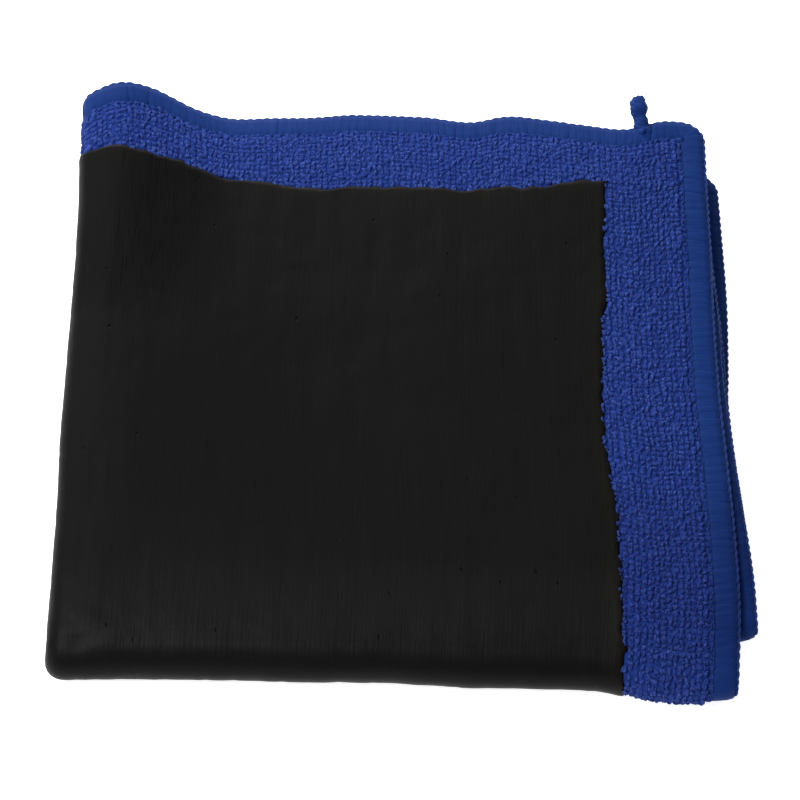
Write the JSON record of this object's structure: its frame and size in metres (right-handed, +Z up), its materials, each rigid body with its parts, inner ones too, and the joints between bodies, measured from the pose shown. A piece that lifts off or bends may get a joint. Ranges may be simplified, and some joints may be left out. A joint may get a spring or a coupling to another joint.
{
  "type": "clay towel",
  "caption": "Square terry towel with a bonded sheet of clay compound on one face and an overlocked edge, folded into quarters with the clay outside.",
  "frame": {"origin": "centre of the folded towel's bounding box on the plane it lies on, thread tail included", "axes": "+X to the free overlocked side edge, +Y to the free overlocked top edge, +Z up through the four leaves"},
  "size_m": [0.1516, 0.1582, 0.0165],
  "materials": {
    "terry": "looped microfibre terry, matt with a faint sheen",
    "clay": "smooth satin black compound with faint streaks",
    "thread": "overlock polyester thread, soft sheen"
  },
  "bodies": {
    "lower_half": {"terry_back_leaf": "terry", "terry_back_inner_leaf": "terry", "terry_back_side_fold": "terry", "terry_back_end_wrap": "terry", "terry_back_inner_end_wrap": "terry", "clay_back_leaf": "clay", "clay_back_inner_leaf": "clay", "clay_back_side_fold": "clay", "clay_back_end_wrap": "clay", "clay_back_inner_end_wrap": "clay", "seam_back_top": "thread", "seam_back_inner_top": "thread", "seam_back_top_turn": "thread", "seam_back_right": "thread", "seam_back_inner_right": "thread"},
    "upper_half": {"terry_front_leaf": "terry", "terry_front_inner_leaf": "terry", "terry_front_side_fold": "terry", "terry_front_end_wrap": "terry", "terry_front_inner_end_wrap": "terry", "clay_front_leaf": "clay", "clay_front_inner_leaf": "clay", "clay_front_side_fold": "clay", "clay_front_end_wrap": "clay", "clay_front_inner_end_wrap": "clay", "seam_front_top": "thread", "seam_front_inner_top": "thread", "seam_front_top_turn": "thread", "seam_front_right": "thread", "seam_front_inner_right": "thread", "thread_tail": "thread"}
  },
  "joints": [
    {"name": "unfold", "type": "hinge", "parent": "lower_half", "child": "upper_half", "pos_m": [0, -0.07922, 0.00825], "axis": [1, 0, 0], "range_deg": [0, 180]}
  ]
}
